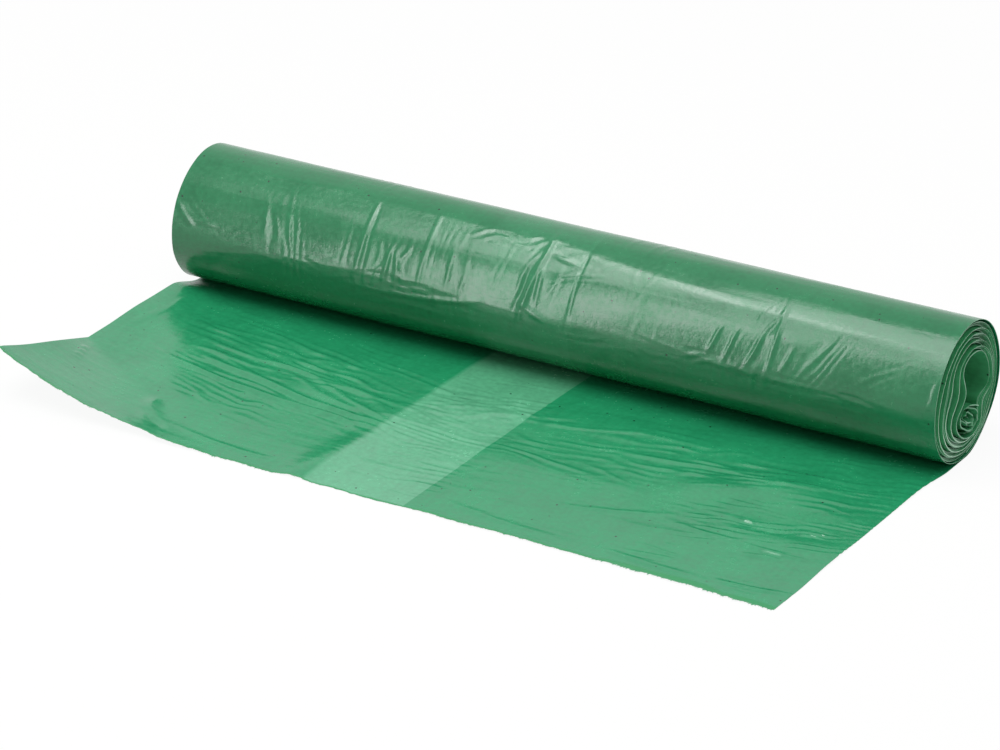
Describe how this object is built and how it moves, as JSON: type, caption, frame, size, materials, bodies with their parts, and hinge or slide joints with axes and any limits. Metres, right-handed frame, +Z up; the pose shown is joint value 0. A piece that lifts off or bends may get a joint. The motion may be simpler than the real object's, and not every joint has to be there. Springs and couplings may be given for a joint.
{
  "type": "bin bag roll",
  "caption": "Coreless roll of green plastic bin bags lying on the floor, its first bag drawn out flat in front with one corner curling up.",
  "frame": {"origin": "on the floor below the roll's axis, halfway along the roll", "axes": "+X along the roll, -Y the way the first bag is drawn out, +Z up"},
  "size_m": [0.48, 0.2427, 0.0767],
  "materials": {
    "bag_film": "glossy"
  },
  "bodies": {
    "root": {"bag_roll": "bag_film"}
  },
  "joints": []
}
